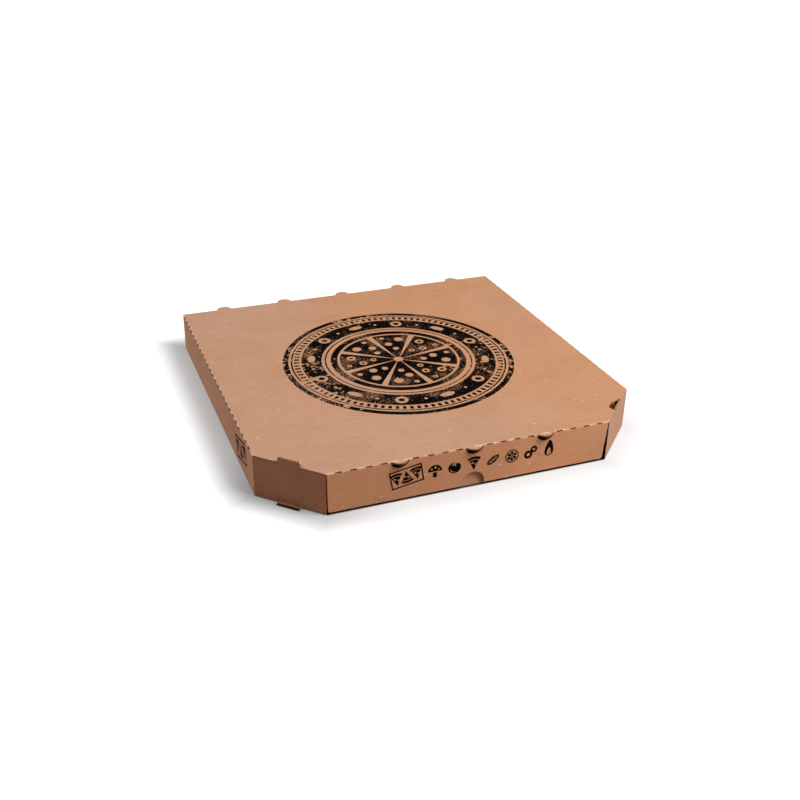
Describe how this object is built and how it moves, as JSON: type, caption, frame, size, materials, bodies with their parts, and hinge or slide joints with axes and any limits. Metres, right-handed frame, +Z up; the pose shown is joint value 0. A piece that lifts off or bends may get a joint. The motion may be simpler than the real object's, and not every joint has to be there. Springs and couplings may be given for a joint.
{
  "type": "pizza box",
  "caption": "Flat square carton with cut front corners, a hinged lid with steam vents and a hanging front flap with a thumb notch.",
  "frame": {"origin": "on the floor under the middle of the closed box", "axes": "+Z up, the front flap faces -Y, +X to the right seen from the front"},
  "size_m": [0.36, 0.3709, 0.0445],
  "materials": {
    "tray": "matt brown kraft liner",
    "lid": "matt brown kraft liner",
    "front_flap": "matt brown kraft liner"
  },
  "bodies": {
    "tray": {"tray": "tray"},
    "lid": {"lid": "lid"},
    "front_flap": {"front_flap": "front_flap"}
  },
  "joints": [
    {"name": "lid_hinge", "type": "hinge", "parent": "tray", "child": "lid", "pos_m": [0, 0.18, 0.04], "axis": [-1, 0, 0], "range_deg": [0, 180]},
    {"name": "front_flap_hinge", "type": "hinge", "parent": "lid", "child": "front_flap", "pos_m": [0, -0.18, 0.04], "axis": [-1, 0, 0], "range_deg": [0, 180]}
  ]
}
